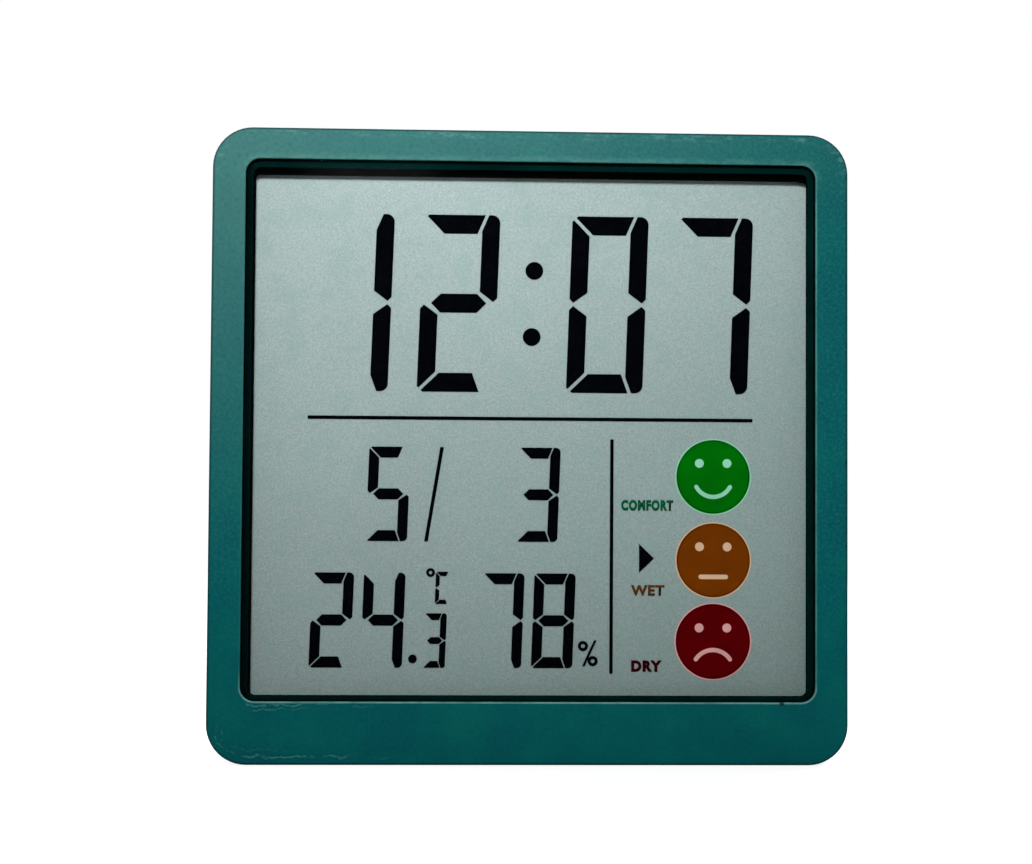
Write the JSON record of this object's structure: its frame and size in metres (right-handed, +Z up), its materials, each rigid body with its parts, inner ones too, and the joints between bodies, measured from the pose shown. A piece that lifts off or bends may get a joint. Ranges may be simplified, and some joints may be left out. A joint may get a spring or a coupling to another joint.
{
  "type": "thermometer hygrometer clock",
  "caption": "Square desk clock with a flat segment display for time, temperature and humidity, rear keys, folding stand, keyhole and sliding battery door.",
  "frame": {"origin": "middle of the base, halfway through the case's depth", "axes": "+Z up the case, +X to the viewer's right when facing the display, display faces -Y, back with stand and keys faces +Y"},
  "size_m": [0.08, 0.02, 0.0794],
  "materials": {
    "case_green": "moulded ABS, fine satin texture, dark teal green",
    "key_green": "moulded ABS, satin, a little darker than the case",
    "clear_window": "clear acrylic sheet, polished",
    "surround_green": "deep green moulded rim, satin gloss",
    "foam_black": "thin closed-cell foam",
    "display_glass": "thin glass with a matt polariser",
    "segment_ink": "dark liquid crystal segments",
    "seal_black": "edge seal",
    "reflector_grey": "glass with a grey-green reflector behind it",
    "strip_rubber": "layered contact rubber",
    "tray_white": "plain moulded plastic",
    "screw_steel": "zinc plated",
    "board_green": "glass fibre board with green mask",
    "epoxy_black": "moulded resin",
    "can_metal": "drawn can, nickel plated",
    "chip_ceramic": "small surface parts",
    "black_plastic": "plain black plastic",
    "sleeve_blue": "shrunk sleeve",
    "sensor_ceramic": "sensor plate",
    "cell_wrap": "plain printed wrap over the can; light metal gives the real weight of a filled cell",
    "contact_nickel": "nickel plated spring steel"
  },
  "bodies": {
    "case": {"battery_left": "cell_wrap", "battery_right": "cell_wrap", "buzzer": "black_plastic", "capacitor": "sleeve_blue", "case_screws": "screw_steel", "cell_contact_minus": "contact_nickel", "cell_contact_plus": "contact_nickel", "cell_link": "contact_nickel", "cell_springs": "contact_nickel", "chip_parts": "chip_ceramic", "component_leads": "can_metal", "controller_chip": "epoxy_black", "crystal": "can_metal", "display_gasket": "foam_black", "display_surround": "surround_green", "display_window": "clear_window", "front_frame": "case_green", "humidity_sensor": "sensor_ceramic", "lcd_front_glass": "display_glass", "lcd_rear_panel": "reflector_grey", "lcd_seal": "seal_black", "lcd_segments": "segment_ink", "lcd_tray": "tray_white", "main_board": "board_green", "rear_cover": "case_green", "switch_bodies": "black_plastic", "thermistor": "epoxy_black", "tray_screws": "screw_steel", "zebra_strip": "strip_rubber"},
    "stand_leg": {"stand": "case_green"},
    "door": {"battery_door": "case_green"},
    "mode_key": {"mode_button": "key_green", "mode_plunger": "black_plastic"},
    "up_key": {"up_button": "key_green", "up_plunger": "black_plastic"},
    "down_key": {"down_button": "key_green", "down_plunger": "black_plastic"},
    "unit_key": {"unit_button": "key_green", "unit_plunger": "black_plastic"}
  },
  "joints": [
    {"name": "stand_hinge", "type": "hinge", "parent": "case", "child": "stand_leg", "pos_m": [0, 0.0082, 0.05998], "axis": [1, 0, 0], "range_deg": [0, 24]},
    {"name": "door_slide", "type": "slide", "parent": "case", "child": "door", "axis": [1, 0, 0], "range_m": [0, 0.026]},
    {"name": "mode_press", "type": "slide", "parent": "case", "child": "mode_key", "axis": [0, -1, 0], "range_m": [0, 0.0005], "stiffness_N_per_m": 600, "springref_m": -0.0005},
    {"name": "up_press", "type": "slide", "parent": "case", "child": "up_key", "axis": [0, -1, 0], "range_m": [0, 0.0005], "stiffness_N_per_m": 600, "springref_m": -0.0005},
    {"name": "down_press", "type": "slide", "parent": "case", "child": "down_key", "axis": [0, -1, 0], "range_m": [0, 0.0005], "stiffness_N_per_m": 600, "springref_m": -0.0005},
    {"name": "unit_press", "type": "slide", "parent": "case", "child": "unit_key", "axis": [0, -1, 0], "range_m": [0, 0.0005], "stiffness_N_per_m": 600, "springref_m": -0.0005}
  ]
}
